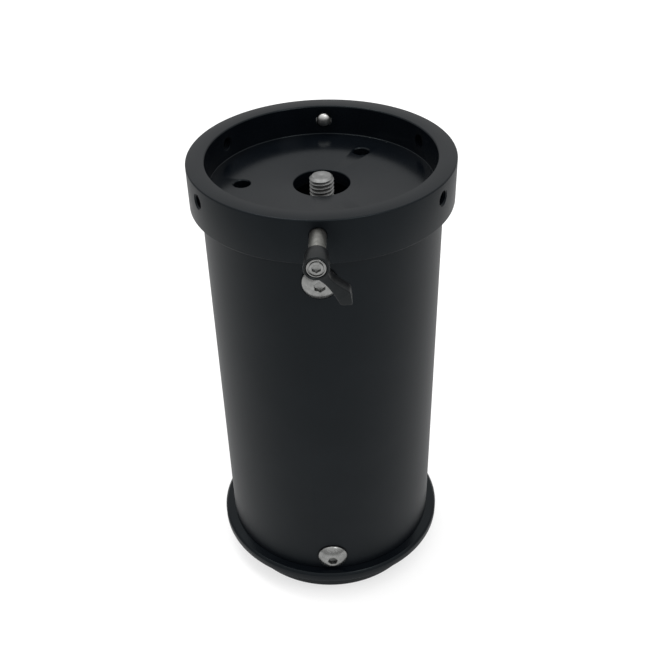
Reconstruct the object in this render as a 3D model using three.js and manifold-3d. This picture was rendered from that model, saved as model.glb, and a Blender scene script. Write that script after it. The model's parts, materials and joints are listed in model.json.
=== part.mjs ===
// A short column that lifts a small equatorial head above its tripod. Its head is a shallow cup that takes
// the mount's round spigot, with a captive centre bolt and a clamp lever; its foot is a spigot of the same
// size. Millimetres, +Z up, with the origin under the middle of the foot and the lever on the -Y side.
import * as THREE from "three";
import { mergeVertices } from "three/addons/utils/BufferGeometryUtils.js";
import Module from "manifold-3d";

const wasm = await Module();
wasm.setup();

// Column
const columnHeight = 200; // underside of the spigot to the top of the rim
const tubeDiameter = 95;
const tubeWall = 4;

// Cup head
const headDiameter = 103.8;
const headHeight = 17.5;
const cupDiameter = 89.2;
const cupDepth = 12.3;
const headPlugLength = 21;
const rimChamfer = 0.4;
const centreOpeningDiameter = 22;
const floorHoleCircle = 62.6;
const floorHoleDiameter = 6.6;
const floorHoleAngles = [-90, 30, 150];
const rimHoleDrop = 6.1; // rim to the axis of the radial holes
const rimHoleStep = 60;

// Base
const flangeDiameter = 104;
const flangeThickness = 4.4;
const flangeChamfer = 1; // round its top
const spigotHeight = 12;
const basePlugLength = 20;
const baseFloorThickness = 12;
const baseClocking = 2.4; // the base and its screws stand a little round from the head's
const baseScrewDiameter = 6; // of the screws that go up into the foot

// Side screws, M6 with a wide button head
const sideScrewDiameter = 6;
const sideScrewLength = 10;
const sideScrewHeadDiameter = 13.4;
const sideScrewEdge = 0.9; // height of the straight edge under the dome
const sideScrewCrown = 6.4; // diameter of the flat round the socket
const sideScrewHeadHeight = 3.3;
const sideScrewSocket = 4;
const sideScrewCount = 3;
const upperScrewDrop = 10.4; // underside of the head to the upper row
const lowerScrewRise = 7.9; // top of the flange to the lower row
const spotFaceDiameter = 14.4;

// Captive centre bolt, 3/8 inch
const boltDiameter = 9.525;
const boltStandOut = 3; // above the cup's floor, with the bolt resting
const boltTravel = 8;
const boltHeadDiameter = 16;
const boltHeadHeight = 8;
const boltSocket = 6;
const boltWasherDiameter = 34;
const boltWasherThickness = 4;
const boltChamfer = 0.8;
const clipDiameter = 15;
const clipThickness = 1;

// Plate under the head plug that keeps the centre bolt in
const retainerThickness = 2.5;
const retainerKeyHole = 9;
const retainerAccessHole = 14;
const retainerScrewDiameter = 3;
const retainerScrewLength = 8;
const retainerScrewHeadDiameter = 5.5;
const retainerScrewHeadHeight = 3;

// Threaded bush for the tripod's screw
const bushBore = 8;
const bushBodyDiameter = 16;
const bushFlangeDiameter = 24;
const bushFlangeThickness = 2.5;

// Clamp lever, M6, and the set screw opposite it
const studDiameter = 6;
const collarLength = 13; // rim to the hub of the handle
const studTeeth = 12;
const toothGap = 0.8;
const toothLength = 1.6;
const hubDiameter = 9;
const hubNeckDiameter = 8.6;
const hubLength = 8.2;
const hubLedge = 0.7;
const armThickness = 5.5;
const armEdge = 0.4;
const handleLift = 1.5;
const tipInset = 0.25; // the tips are a little thinner than the screws behind them, on the radius
const tipDome = 1.5;
const tipStemDiameter = 2.2;
const tipStemLength = 2.5;
const leverScrewDiameter = 4;
const leverScrewLength = 8;
const leverScrewHeadDiameter = 7;
const leverScrewHeadHeight = 2.5;
const leverScrewSocket = 3;
const shimThickness = 0.3;
const springWire = 0.4;
const springTurns = 2;
const setScrewLength = 6;
const setScrewSocket = 3;
const setScrewSocketDepth = 2.2;
const setScrewSetting = 1.7; // how far the rear tip stands into the cup

// Clearances
const seatGap = 0.3; // between faces that rest on each other
const fineGap = 0.15; // the same, inside the lever
const plugClearance = 0.3; // plug in tube, on the radius
const spigotClearance = 0.5; // spigot in a cup like this one, on the diameter
const threadClearance = 0.2; // screw in its hole, on the radius
const tubeHoleClearance = 0.3; // side screw through the tube, on the radius

// Edges
const leadChamfer = 0.9; // on the plugs
const edgeChamfer = 0.3;
const screwChamfer = 0.5;

// Facets round a full turn
const bodySides = 60;
const screwSides = 20;
const holeSides = 16;
const smallSides = 12;

// Heights and radii that follow from the sizes above
const floorTop = columnHeight - cupDepth;
const headSeat = columnHeight - headHeight;
const headPlugEnd = headSeat - headPlugLength;
const flangeTop = spigotHeight + flangeThickness;
const basePlugEnd = flangeTop + basePlugLength;
const tubeBore = tubeDiameter - 2 * tubeWall;
const plugRadius = tubeBore / 2 - plugClearance;
const plugWall = sideScrewDiameter + 0.6; // enough for one diameter of thread
const pocketRadius = plugRadius - plugWall;
const cupRadius = cupDiameter / 2;
const headRadius = headDiameter / 2;
const rimHoleHeight = columnHeight - rimHoleDrop;
const rimHoleRadius = studDiameter / 2 + threadClearance;
const screwSeat = Math.sqrt((tubeDiameter / 2) ** 2 - (spotFaceDiameter / 2) ** 2);
const upperScrewHeight = headSeat - upperScrewDrop;
const lowerScrewHeight = flangeTop + lowerScrewRise;
const sideHoleRadius = sideScrewDiameter / 2 + threadClearance;
const retainerTop = headPlugEnd - seatGap;
const retainerBottom = retainerTop - retainerThickness;
const retainerScrewCircle = pocketRadius + plugRadius; // a diameter, in the middle of the plug's wall
const retainerAngles = [60, 180, 300];
const threeAngles = [0, 120, 240].slice(0, sideScrewCount);

const degrees = Math.PI / 180;
const past = 1; // how far a cutting tool runs past the face it cuts

// A closed geometry as a solid that can be cut and joined.
function solid(geometry) {
  const bare = geometry.index ? geometry.toNonIndexed() : geometry.clone();
  bare.deleteAttribute("normal");
  bare.deleteAttribute("uv");
  const merged = mergeVertices(bare, 1e-4);
  const corners = merged.index.array;
  const triangles = [];
  for (let i = 0; i < corners.length; i += 3) {
    const [a, b, c] = corners.slice(i, i + 3);
    if (a !== b && b !== c && c !== a) triangles.push(a, b, c);
  }
  return new wasm.Manifold(
    new wasm.Mesh({
      numProp: 3,
      vertProperties: merged.attributes.position.array,
      triVerts: new Uint32Array(triangles),
    }),
  );
}

function geometryOf(body) {
  const mesh = body.getMesh();
  const geometry = new THREE.BufferGeometry();
  geometry.setAttribute("position", new THREE.BufferAttribute(mesh.vertProperties, 3));
  geometry.setIndex(new THREE.BufferAttribute(mesh.triVerts, 1));
  const faceted = geometry.toNonIndexed();
  faceted.computeVertexNormals();
  return faceted;
}

// A profile of [radius, height] points turned about Z. It starts and ends on the axis, or closes on itself.
function turned(profile, sides) {
  const points = profile.map(([radius, height]) => new THREE.Vector2(radius, height));
  if (profile[0][0] > 0) points.push(points[0].clone());
  if (THREE.ShapeUtils.area(points) < 0) points.reverse();
  return new THREE.LatheGeometry(points, sides).rotateX(Math.PI / 2);
}

function rod(diameter, bottom, top, sides = holeSides) {
  return new THREE.CylinderGeometry(diameter / 2, diameter / 2, top - bottom, sides)
    .rotateX(Math.PI / 2)
    .translate(0, 0, (bottom + top) / 2);
}

function hexagon(acrossFlats, bottom, top) {
  return rod(acrossFlats / Math.cos(30 * degrees), bottom, top, 6);
}

// Moves a geometry from the axis to a place on a circle, counted from -Y towards +X.
function around(geometry, circleDiameter, angle) {
  return geometry.translate(0, -circleDiameter / 2, 0).rotateZ(angle * degrees);
}

// Turns a geometry that runs along +Z so that it runs outwards from the column's axis.
function outwards(geometry, angle, height) {
  return geometry
    .rotateX(Math.PI / 2)
    .rotateZ(angle * degrees)
    .translate(0, 0, height);
}

function cut(body, tools) {
  return tools.reduce((left, tool) => left.subtract(solid(tool)), body);
}

const finishes = {
  anodised: { color: 0x16181b, roughness: 0.42, metalness: 0.6 },
  tube: { color: 0x1b1d20, roughness: 0.6, metalness: 0.4 },
  stainless: { color: 0xc9cac8, roughness: 0.22, metalness: 1 },
  brass: { color: 0xb08d4a, roughness: 0.3, metalness: 1 },
  handle: { color: 0x121314, roughness: 0.55, metalness: 0.1 },
  spring: { color: 0x9a9c9e, roughness: 0.3, metalness: 1 },
  zinc: { color: 0x8d9093, roughness: 0.4, metalness: 1 },
};

const column = new THREE.Group();

function addPiece(parent, name, body, finish) {
  const mesh = new THREE.Mesh(geometryOf(body), new THREE.MeshStandardMaterial(finishes[finish]));
  mesh.name = name;
  parent.add(mesh);
  return mesh;
}

// A group whose +Z points outwards from the column's axis.
function outwardGroup(angle, height) {
  const group = new THREE.Group();
  group.rotation.set(Math.PI / 2, 0, angle * degrees, "ZYX");
  group.position.z = height;
  column.add(group);
  return group;
}

function cupHead() {
  const body = solid(
    turned(
      [
        [headRadius, headSeat + edgeChamfer],
        [headRadius, columnHeight - rimChamfer],
        [headRadius - rimChamfer, columnHeight],
        [cupRadius + rimChamfer, columnHeight],
        [cupRadius, columnHeight - rimChamfer],
        [cupRadius, floorTop],
        [centreOpeningDiameter / 2 + edgeChamfer, floorTop],
        [centreOpeningDiameter / 2, floorTop - edgeChamfer],
        [centreOpeningDiameter / 2, headSeat],
        [pocketRadius, headSeat],
        [pocketRadius, headPlugEnd],
        [plugRadius - leadChamfer, headPlugEnd],
        [plugRadius, headPlugEnd + leadChamfer],
        [plugRadius, headSeat],
        [headRadius - edgeChamfer, headSeat],
      ],
      bodySides,
    ),
  );
  const tools = floorHoleAngles.map((angle) =>
    around(rod(floorHoleDiameter, headSeat - past, floorTop + past), floorHoleCircle, angle),
  );
  for (let angle = 0; angle < 360; angle += rimHoleStep)
    tools.push(
      outwards(rod(2 * rimHoleRadius, cupRadius - 2 * past, headRadius + past), angle, rimHoleHeight),
    );
  for (const angle of threeAngles)
    tools.push(
      outwards(rod(2 * sideHoleRadius, pocketRadius - past, plugRadius + past), angle, upperScrewHeight),
    );
  for (const angle of retainerAngles)
    tools.push(
      around(
        rod(
          retainerScrewDiameter + 2 * threadClearance,
          headPlugEnd - past,
          headPlugEnd + retainerScrewLength,
          smallSides,
        ),
        retainerScrewCircle,
        angle,
      ),
    );
  return cut(body, tools);
}

// The tube's spot faces let the flanged heads sit flat on its round wall.
function columnTube() {
  const bottom = flangeTop + seatGap;
  const top = headSeat - seatGap;
  const body = solid(
    turned(
      [
        [tubeDiameter / 2, bottom],
        [tubeDiameter / 2, top],
        [tubeBore / 2, top],
        [tubeBore / 2, bottom],
      ],
      bodySides,
    ),
  );
  const holeDiameter = sideScrewDiameter + 2 * tubeHoleClearance;
  const tools = [];
  const rows = [
    [upperScrewHeight, 0],
    [lowerScrewHeight, baseClocking],
  ];
  for (const [height, clocking] of rows)
    for (const angle of threeAngles)
      tools.push(
        outwards(
          rod(holeDiameter, tubeBore / 2 - 2 * past, tubeDiameter / 2 + past),
          angle + clocking,
          height,
        ),
        outwards(
          rod(spotFaceDiameter, screwSeat, tubeDiameter / 2 + past, screwSides),
          angle + clocking,
          height,
        ),
      );
  return cut(body, tools);
}

function baseFlange() {
  const spigotRadius = (cupDiameter - spigotClearance) / 2;
  const flangeRadius = flangeDiameter / 2;
  const bushHole = bushBodyDiameter / 2 + threadClearance;
  const body = solid(
    turned(
      [
        [bushHole, 0],
        [spigotRadius - edgeChamfer, 0],
        [spigotRadius, edgeChamfer],
        [spigotRadius, spigotHeight],
        [flangeRadius - edgeChamfer, spigotHeight],
        [flangeRadius, spigotHeight + edgeChamfer],
        [flangeRadius, flangeTop - flangeChamfer],
        [flangeRadius - flangeChamfer, flangeTop],
        [plugRadius, flangeTop],
        [plugRadius, basePlugEnd - leadChamfer],
        [plugRadius - leadChamfer, basePlugEnd],
        [pocketRadius, basePlugEnd],
        [pocketRadius, baseFloorThickness],
        [bushHole, baseFloorThickness],
      ],
      bodySides,
    ),
  );
  const tools = floorHoleAngles.map((angle) =>
    around(
      rod(baseScrewDiameter + 2 * threadClearance, -past, baseFloorThickness + past),
      floorHoleCircle,
      angle + baseClocking,
    ),
  );
  for (const angle of threeAngles)
    tools.push(
      outwards(
        rod(2 * sideHoleRadius, pocketRadius - past, plugRadius + past),
        angle + baseClocking,
        lowerScrewHeight,
      ),
    );
  return cut(body, tools);
}

// The bush drops into the base from inside the column, and its collar takes the pull of the tripod's screw.
function tripodBush() {
  const collarBottom = baseFloorThickness + seatGap;
  return solid(
    turned(
      [
        [bushBore / 2, seatGap],
        [bushBodyDiameter / 2, seatGap],
        [bushBodyDiameter / 2, collarBottom],
        [bushFlangeDiameter / 2, collarBottom],
        [bushFlangeDiameter / 2, collarBottom + bushFlangeThickness],
        [bushBore / 2, collarBottom + bushFlangeThickness],
      ],
      screwSides,
    ),
  );
}

// Part of a ball whose middle is on the axis, from an outer radius and height to an inner one.
function dome(outer, low, inner, high, steps) {
  const middle = (outer ** 2 + low ** 2 - inner ** 2 - high ** 2) / (2 * (low - high));
  const first = Math.atan2(low - middle, outer);
  const last = Math.atan2(high - middle, inner);
  const radius = Math.hypot(outer, low - middle);
  return Array.from({ length: steps + 1 }, (_, i) => {
    const angle = first + ((last - first) * i) / steps;
    return [radius * Math.cos(angle), middle + radius * Math.sin(angle)];
  });
}

// A wide button head on a plain shank, with its seat at z = 0 and the head towards +Z.
function sideScrew() {
  const edge = sideScrewHeadDiameter / 2;
  const socketBottom = sideScrewHeadHeight * 0.4;
  const body = solid(
    turned(
      [
        [0, -sideScrewLength],
        [sideScrewDiameter / 2 - screwChamfer, -sideScrewLength],
        [sideScrewDiameter / 2, screwChamfer - sideScrewLength],
        [sideScrewDiameter / 2, 0],
        [edge, 0],
        ...dome(edge, sideScrewEdge, sideScrewCrown / 2, sideScrewHeadHeight, 4),
        [0, sideScrewHeadHeight],
      ],
      screwSides,
    ),
  );
  return cut(body, [hexagon(sideScrewSocket, socketBottom, sideScrewHeadHeight + past)]);
}

// A cylinder head screw with its seat at z = 0 and the head towards -Z.
function capScrew(diameter, length, headDiameter, headHeight, socket) {
  const body = solid(
    turned(
      [
        [0, -headHeight],
        [headDiameter / 2, -headHeight],
        [headDiameter / 2, 0],
        [diameter / 2, 0],
        [diameter / 2, length - screwChamfer],
        [diameter / 2 - screwChamfer, length],
        [0, length],
      ],
      screwSides,
    ),
  );
  return cut(body, [hexagon(socket, -headHeight - past, -headHeight * 0.4)]);
}

// Heights of the resting bolt stack, from the retainer plate up.
const boltHeadBottom = retainerTop + seatGap;
const boltHeadTop = boltHeadBottom + boltHeadHeight;
const boltWasherBottom = boltHeadTop + seatGap;
const clipBottom = boltWasherBottom + boltWasherThickness + seatGap;
const clipGroove = 0.7;

function centreBolt() {
  const radius = boltDiameter / 2;
  const top = floorTop + boltStandOut;
  const body = solid(
    turned(
      [
        [0, boltHeadBottom],
        [boltHeadDiameter / 2, boltHeadBottom],
        [boltHeadDiameter / 2, boltHeadTop],
        [radius, boltHeadTop],
        [radius, clipBottom - fineGap],
        [radius - clipGroove, clipBottom - fineGap],
        [radius - clipGroove, clipBottom + clipThickness + fineGap],
        [radius, clipBottom + clipThickness + fineGap],
        [radius, top - boltChamfer],
        [radius - boltChamfer, top],
        [0, top],
      ],
      screwSides,
    ),
  );
  return cut(body, [hexagon(boltSocket, boltHeadBottom - past, boltHeadBottom + boltHeadHeight / 2)]);
}

function boltWasher() {
  return solid(
    turned(
      [
        [boltDiameter / 2 + seatGap, boltWasherBottom],
        [boltWasherDiameter / 2, boltWasherBottom],
        [boltWasherDiameter / 2, boltWasherBottom + boltWasherThickness],
        [boltDiameter / 2 + seatGap, boltWasherBottom + boltWasherThickness],
      ],
      bodySides / 2,
    ),
  );
}

// A snap ring, open on one side, in the bolt's groove above the washer.
function boltClip() {
  const opening = 60 * degrees;
  const inner = boltDiameter / 2 - clipGroove + fineGap;
  const outline = new THREE.Shape();
  outline.absarc(0, 0, clipDiameter / 2, opening / 2, 2 * Math.PI - opening / 2, false);
  outline.absarc(0, 0, inner, 2 * Math.PI - opening / 2, opening / 2, true);
  return solid(
    new THREE.ExtrudeGeometry(outline, {
      depth: clipThickness,
      bevelEnabled: false,
      curveSegments: 20,
    }).translate(0, 0, clipBottom),
  );
}

// The plate's large holes leave a way for the screws that go up through the cup's floor.
function retainerPlate() {
  const body = solid(rod(2 * (plugRadius - seatGap), retainerBottom, retainerTop, bodySides));
  const tools = [rod(retainerKeyHole, retainerBottom - past, retainerTop + past)];
  for (const angle of floorHoleAngles)
    tools.push(
      around(rod(retainerAccessHole, retainerBottom - past, retainerTop + past), floorHoleCircle, angle),
    );
  for (const angle of retainerAngles)
    tools.push(
      around(
        rod(
          retainerScrewDiameter + 2 * threadClearance,
          retainerBottom - past,
          retainerTop + past,
          smallSides,
        ),
        retainerScrewCircle,
        angle,
      ),
    );
  return cut(body, tools);
}

// A domed tip on a stem, with the dome's base at z = 0, its crown towards -Z and the stem towards +Z.
function pressureTip() {
  const radius = studDiameter / 2 - tipInset;
  return solid(
    turned(
      [
        ...dome(0, -tipDome, radius, 0, 3),
        [tipStemDiameter / 2, 0],
        [tipStemDiameter / 2, tipStemLength],
        [0, tipStemLength],
      ],
      holeSides,
    ),
  );
}

// Distances from the column's axis along the lever.
const leverTipBase = cupRadius + tipDome + seatGap; // the crown is just inside the wall of the cup
const studStart = leverTipBase + fineGap;
const hubStart = headRadius + collarLength;
const hubEnd = hubStart + hubLength;
const leverScrewSeat = hubEnd - leverScrewHeadHeight - 0.1;
const shimBottom = leverScrewSeat - fineGap - shimThickness;
const ledgeTop = shimBottom - fineGap - handleLift;
const ledgeBottom = ledgeTop - hubLedge;
const studEnd = ledgeBottom - seatGap;
const hubBore = studDiameter / 2 + seatGap;
const hubPocket = leverScrewHeadDiameter / 2 + fineGap;
const ledgeHole = leverScrewDiameter / 2 + fineGap + 0.1;
const stemHole = tipStemDiameter / 2 + fineGap;

// The stud has a hole for the tip's stem at one end and for the lever's screw at the other, and teeth
// round its outer end.
function leverStud() {
  const radius = studDiameter / 2;
  const screwHole = leverScrewDiameter / 2 + threadClearance;
  const screwHoleEnd = leverScrewSeat - leverScrewLength - past;
  const body = solid(
    turned(
      [
        [0, studStart + tipStemLength + seatGap],
        [stemHole, studStart + tipStemLength + seatGap],
        [stemHole, studStart],
        [radius - screwChamfer, studStart],
        [radius, studStart + screwChamfer],
        [radius, studEnd],
        [screwHole, studEnd],
        [screwHole, screwHoleEnd],
        [0, screwHoleEnd],
      ],
      screwSides,
    ),
  );
  const gaps = [];
  for (let i = 0; i < studTeeth; i++) {
    const gap = rod(toothGap, studEnd - toothLength, studEnd + past, 6);
    gaps.push(around(gap, studDiameter + toothGap / 4, (i * 360) / studTeeth));
  }
  return cut(body, gaps);
}

// The hub with its arm. In the outline X is to the right and Y is up, seen from outside with the arm at rest.
function leverHandle() {
  const hub = solid(
    turned(
      [
        [hubBore, hubStart],
        [hubNeckDiameter / 2, hubStart],
        [hubDiameter / 2, hubStart + hubLength / 2],
        [hubDiameter / 2, hubEnd - edgeChamfer],
        [hubDiameter / 2 - edgeChamfer, hubEnd],
        [hubPocket, hubEnd],
        [hubPocket, ledgeTop],
        [ledgeHole, ledgeTop],
        [ledgeHole, ledgeBottom],
        [hubBore, ledgeBottom],
      ],
      screwSides * 1.5,
    ),
  );
  const outline = new THREE.Shape();
  outline.moveTo(0, 0);
  outline.lineTo(4.2, 0);
  outline.lineTo(4.5, -3.3);
  outline.quadraticCurveTo(4.7, -4.5, 5.7, -5.2);
  outline.lineTo(10.8, -8.9);
  outline.quadraticCurveTo(11.5, -9.4, 11.6, -10.3);
  outline.lineTo(12, -13.6);
  outline.quadraticCurveTo(12.1, -14.5, 11.2, -14.6);
  outline.lineTo(8.8, -14.7);
  outline.quadraticCurveTo(8.1, -14.7, 7.7, -14);
  outline.lineTo(5.3, -9.8);
  outline.quadraticCurveTo(3.3, -6.5, 0.6, -4.3);
  outline.closePath();
  const arm = solid(
    new THREE.ExtrudeGeometry(outline, {
      depth: armThickness - 2 * armEdge,
      bevelThickness: armEdge,
      bevelSize: armEdge,
      bevelOffset: -armEdge,
      bevelSegments: 2,
      curveSegments: 5,
    }).translate(0, 0, hubEnd - armThickness + armEdge),
  );
  const inside = rod(hubPocket + hubDiameter / 2, hubStart, hubEnd + past, screwSides);
  return hub.add(arm.subtract(solid(inside)));
}

function leverShim() {
  return solid(
    turned(
      [
        [ledgeHole, shimBottom],
        [hubPocket - fineGap, shimBottom],
        [hubPocket - fineGap, shimBottom + shimThickness],
        [ledgeHole, shimBottom + shimThickness],
      ],
      screwSides,
    ),
  );
}

class Helix extends THREE.Curve {
  constructor(radius, bottom, top, turns) {
    super();
    Object.assign(this, { radius, bottom, top, turns });
  }

  getPoint(share, target = new THREE.Vector3()) {
    const angle = share * this.turns * 2 * Math.PI;
    const height = this.bottom + share * (this.top - this.bottom);
    return target.set(this.radius * Math.cos(angle), this.radius * Math.sin(angle), height);
  }
}

function leverSpring() {
  const margin = fineGap + springWire / 2;
  const radius = (ledgeHole + hubPocket) / 2;
  const wire = new THREE.Shape().absarc(0, 0, springWire / 2, 0, 2 * Math.PI, false);
  const path = new Helix(radius, ledgeTop + margin, shimBottom - margin, springTurns);
  return solid(
    new THREE.ExtrudeGeometry(wire, { steps: 14 * springTurns, extrudePath: path, curveSegments: 3 }),
  );
}

function setScrew() {
  const radius = studDiameter / 2;
  const body = solid(
    turned(
      [
        [0, tipStemLength + seatGap],
        [stemHole, tipStemLength + seatGap],
        [stemHole, 0],
        [radius - screwChamfer, 0],
        [radius, screwChamfer],
        [radius, setScrewLength - screwChamfer],
        [radius - screwChamfer, setScrewLength],
        [0, setScrewLength],
      ],
      screwSides,
    ),
  );
  return cut(body, [hexagon(setScrewSocket, setScrewLength - setScrewSocketDepth, setScrewLength + past)]);
}

// Frame of the column
addPiece(column, "cup_head", cupHead(), "anodised");
addPiece(column, "column_tube", columnTube(), "tube");
addPiece(column, "base_flange", baseFlange(), "anodised");
addPiece(column, "tripod_bush", tripodBush(), "zinc");

threeAngles.forEach((angle, i) => {
  const upper = outwardGroup(angle, upperScrewHeight);
  addPiece(upper, "upper_screw_" + (i + 1), sideScrew(), "stainless").position.z = screwSeat + seatGap;
  const lower = outwardGroup(angle + baseClocking, lowerScrewHeight);
  addPiece(lower, "lower_screw_" + (i + 1), sideScrew(), "stainless").position.z = screwSeat + seatGap;
});

// Centre bolt and the plate that holds it in
addPiece(column, "centre_bolt", centreBolt(), "stainless");
addPiece(column, "bolt_washer", boltWasher(), "zinc");
addPiece(column, "bolt_clip", boltClip(), "spring");
addPiece(column, "retainer_plate", retainerPlate(), "zinc");
retainerAngles.forEach((angle, i) => {
  const screw = addPiece(
    column,
    "retainer_screw_" + (i + 1),
    capScrew(
      retainerScrewDiameter,
      retainerScrewLength,
      retainerScrewHeadDiameter,
      retainerScrewHeadHeight,
      retainerScrewDiameter * 0.8,
    ),
    "stainless",
  );
  const radius = retainerScrewCircle / 2;
  screw.position.set(
    radius * Math.sin(angle * degrees),
    -radius * Math.cos(angle * degrees),
    retainerBottom - seatGap,
  );
});

// Clamp lever
const lever = outwardGroup(0, rimHoleHeight);
addPiece(lever, "lever_tip", pressureTip(), "brass").position.z = leverTipBase;
addPiece(lever, "lever_stud", leverStud(), "stainless");
addPiece(lever, "lever_handle", leverHandle(), "handle");
addPiece(lever, "lever_spring", leverSpring(), "spring");
addPiece(lever, "lever_shim", leverShim(), "spring");
const leverScrew = addPiece(
  lever,
  "lever_screw",
  capScrew(
    leverScrewDiameter,
    leverScrewLength,
    leverScrewHeadDiameter,
    leverScrewHeadHeight,
    leverScrewSocket,
  ),
  "stainless",
);
leverScrew.rotation.x = Math.PI;
leverScrew.position.z = leverScrewSeat;

// Set screw opposite the lever
const rear = outwardGroup(180, rimHoleHeight);
const rearTipBase = cupRadius - setScrewSetting + tipDome;
addPiece(rear, "rear_tip", pressureTip(), "stainless").position.z = rearTipBase;
addPiece(rear, "rear_set_screw", setScrew(), "stainless").position.z = rearTipBase + fineGap;

export default column;
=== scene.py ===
import json
from math import atan2, cos, hypot, pi, radians, sin, sqrt, tan

import bpy
from mathutils import Matrix, Vector


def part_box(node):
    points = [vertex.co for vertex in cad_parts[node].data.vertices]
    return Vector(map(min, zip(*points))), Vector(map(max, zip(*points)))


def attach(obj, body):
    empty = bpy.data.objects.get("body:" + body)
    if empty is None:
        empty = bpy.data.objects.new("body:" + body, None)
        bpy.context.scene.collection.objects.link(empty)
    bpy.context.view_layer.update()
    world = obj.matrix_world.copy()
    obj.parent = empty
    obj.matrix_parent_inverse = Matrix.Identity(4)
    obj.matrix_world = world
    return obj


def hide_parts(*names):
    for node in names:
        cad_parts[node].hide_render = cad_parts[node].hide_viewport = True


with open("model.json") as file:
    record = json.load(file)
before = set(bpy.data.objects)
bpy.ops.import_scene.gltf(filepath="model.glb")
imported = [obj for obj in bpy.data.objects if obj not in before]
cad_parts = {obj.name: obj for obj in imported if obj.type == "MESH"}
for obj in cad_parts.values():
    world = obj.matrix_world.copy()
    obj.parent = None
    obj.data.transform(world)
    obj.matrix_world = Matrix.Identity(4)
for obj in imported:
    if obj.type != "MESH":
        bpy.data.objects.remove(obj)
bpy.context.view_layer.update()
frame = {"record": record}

mm = 0.001  # sizes below are in millimetres, Blender's own are metres


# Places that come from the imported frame, in millimetres
def boxOf(node):
    low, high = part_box(node)
    return low / mm, high / mm


def mountHeight(name):
    mount = next(m for m in frame["record"]["mounts"] if m["name"] == name)
    return mount["pos_m"][2] / mm


seatGap = 0.3  # the frame's gap between faces that rest on each other
headSeat = boxOf("column_tube")[1].z + seatGap
flangeTop = boxOf("column_tube")[0].z - seatGap
leverHeight = (boxOf("lever_stud")[0].z + boxOf("lever_stud")[1].z) / 2

# Sizes shared by several pieces
tubeWall = 4
plugWall = 6.6  # the head and the base each have a ring that stands inside the tube
plugRadius = boxOf("column_tube")[1].x - tubeWall - seatGap
pocketRadius = plugRadius - plugWall
pocketFillet = 1
sideAngles = (0, 120, 240)  # where the side screws sit
lowerClocking = 2.4  # how far the lower row is turned from the upper one, in degrees
plateScrewAngles = (60, 180, 300)
tapped = {"core": 2.55, "point": 3.03, "foot": 2.42, "pitch": 1}  # M6 holes


# Small helpers for modelling
def pick(obj):
    bpy.ops.object.select_all(action="DESELECT")
    obj.select_set(True)
    bpy.context.view_layer.objects.active = obj


def editing(on):
    bpy.ops.object.mode_set(mode="EDIT" if on else "OBJECT")


def selectPoints(obj, test):
    editing(True)
    bpy.ops.mesh.select_mode(type="VERT")
    bpy.ops.mesh.select_all(action="DESELECT")
    editing(False)
    for vertex in obj.data.vertices:
        vertex.select = test(vertex.co / mm)
    editing(True)


def cleanUp(closeEnds=False):  # in edit mode: merge doubles, close open ends, turn faces outwards
    bpy.ops.mesh.select_all(action="SELECT")
    bpy.ops.mesh.remove_doubles(threshold=0.002 * mm)
    if closeEnds:
        bpy.ops.mesh.fill_holes(sides=0)
    bpy.ops.mesh.select_all(action="SELECT")
    bpy.ops.mesh.normals_make_consistent(inside=False)


def applyPlace(obj):
    pick(obj)
    bpy.ops.object.transform_apply(location=True, rotation=True, scale=True)


def applyModifier(obj, kind, **settings):
    pick(obj)
    modifier = obj.modifiers.new(kind.lower(), kind)
    for key, value in settings.items():
        setattr(modifier, key, value)
    bpy.ops.object.modifier_apply(modifier=modifier.name)


def arc(centreRadius, centreHeight, radius, start, end, steps=4):
    angles = [radians(start + (end - start) * i / steps) for i in range(steps + 1)]
    return [(centreRadius + radius * cos(a), centreHeight + radius * sin(a)) for a in angles]


def domeArc(start, end, steps=6):  # part of a ball whose middle is on the axis
    (r0, z0), (r1, z1) = start, end
    centre = (r0**2 + z0**2 - r1**2 - z1**2) / (2 * (z0 - z1))
    first, last = atan2(z0 - centre, r0), atan2(z1 - centre, r1)
    radius = hypot(r0, z0 - centre)
    angles = [first + (last - first) * i / steps for i in range(steps + 1)]
    return [(radius * cos(a), centre + radius * sin(a)) for a in angles]


# Rings extruded one from another. The outline of (radius, height) runs from axis to axis, or is a loop
def turned(name, outline, sides=96):
    onAxis = outline[0][0] == 0
    points = outline[1:-1] if onAxis else outline + outline[:1]
    radius, height = points[0]
    bpy.ops.object.select_all(action="DESELECT")
    bpy.ops.mesh.primitive_circle_add(
        vertices=sides,
        radius=radius * mm,
        location=(0, 0, height * mm),
        fill_type="NGON" if onAxis else "NOTHING",
    )
    obj = bpy.context.object
    obj.name = name
    editing(True)
    for nextRadius, nextHeight in points[1:]:
        rise = (0, 0, (nextHeight - height) * mm)
        bpy.ops.mesh.extrude_region_move(TRANSFORM_OT_translate={"value": rise})
        bpy.ops.transform.resize(value=(nextRadius / radius, nextRadius / radius, 1))
        radius, height = nextRadius, nextHeight
    if onAxis and outline[0][1] != outline[1][1]:  # a pointed start
        pokeCap(obj, outline[1], outline[0])
    if onAxis and outline[-1][1] != outline[-2][1]:  # a pointed end
        pokeCap(obj, outline[-2], outline[-1])
    cleanUp()
    editing(False)
    applyPlace(obj)
    return obj


def pokeCap(obj, rim, tip):
    lift = obj.location.z / mm
    selectPoints(obj, lambda p: abs(p.z + lift - rim[1]) < 0.001 and abs(hypot(p.x, p.y) - rim[0]) < 0.001)
    bpy.ops.mesh.select_mode(type="FACE")
    bpy.ops.mesh.poke(offset=0)
    bpy.ops.mesh.select_mode(type="VERT")
    selectPoints(obj, lambda p: abs(p.z + lift - rim[1]) < 0.001 and hypot(p.x, p.y) < 0.001)
    bpy.ops.transform.translate(value=(0, 0, (tip[1] - rim[1]) * mm))


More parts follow.
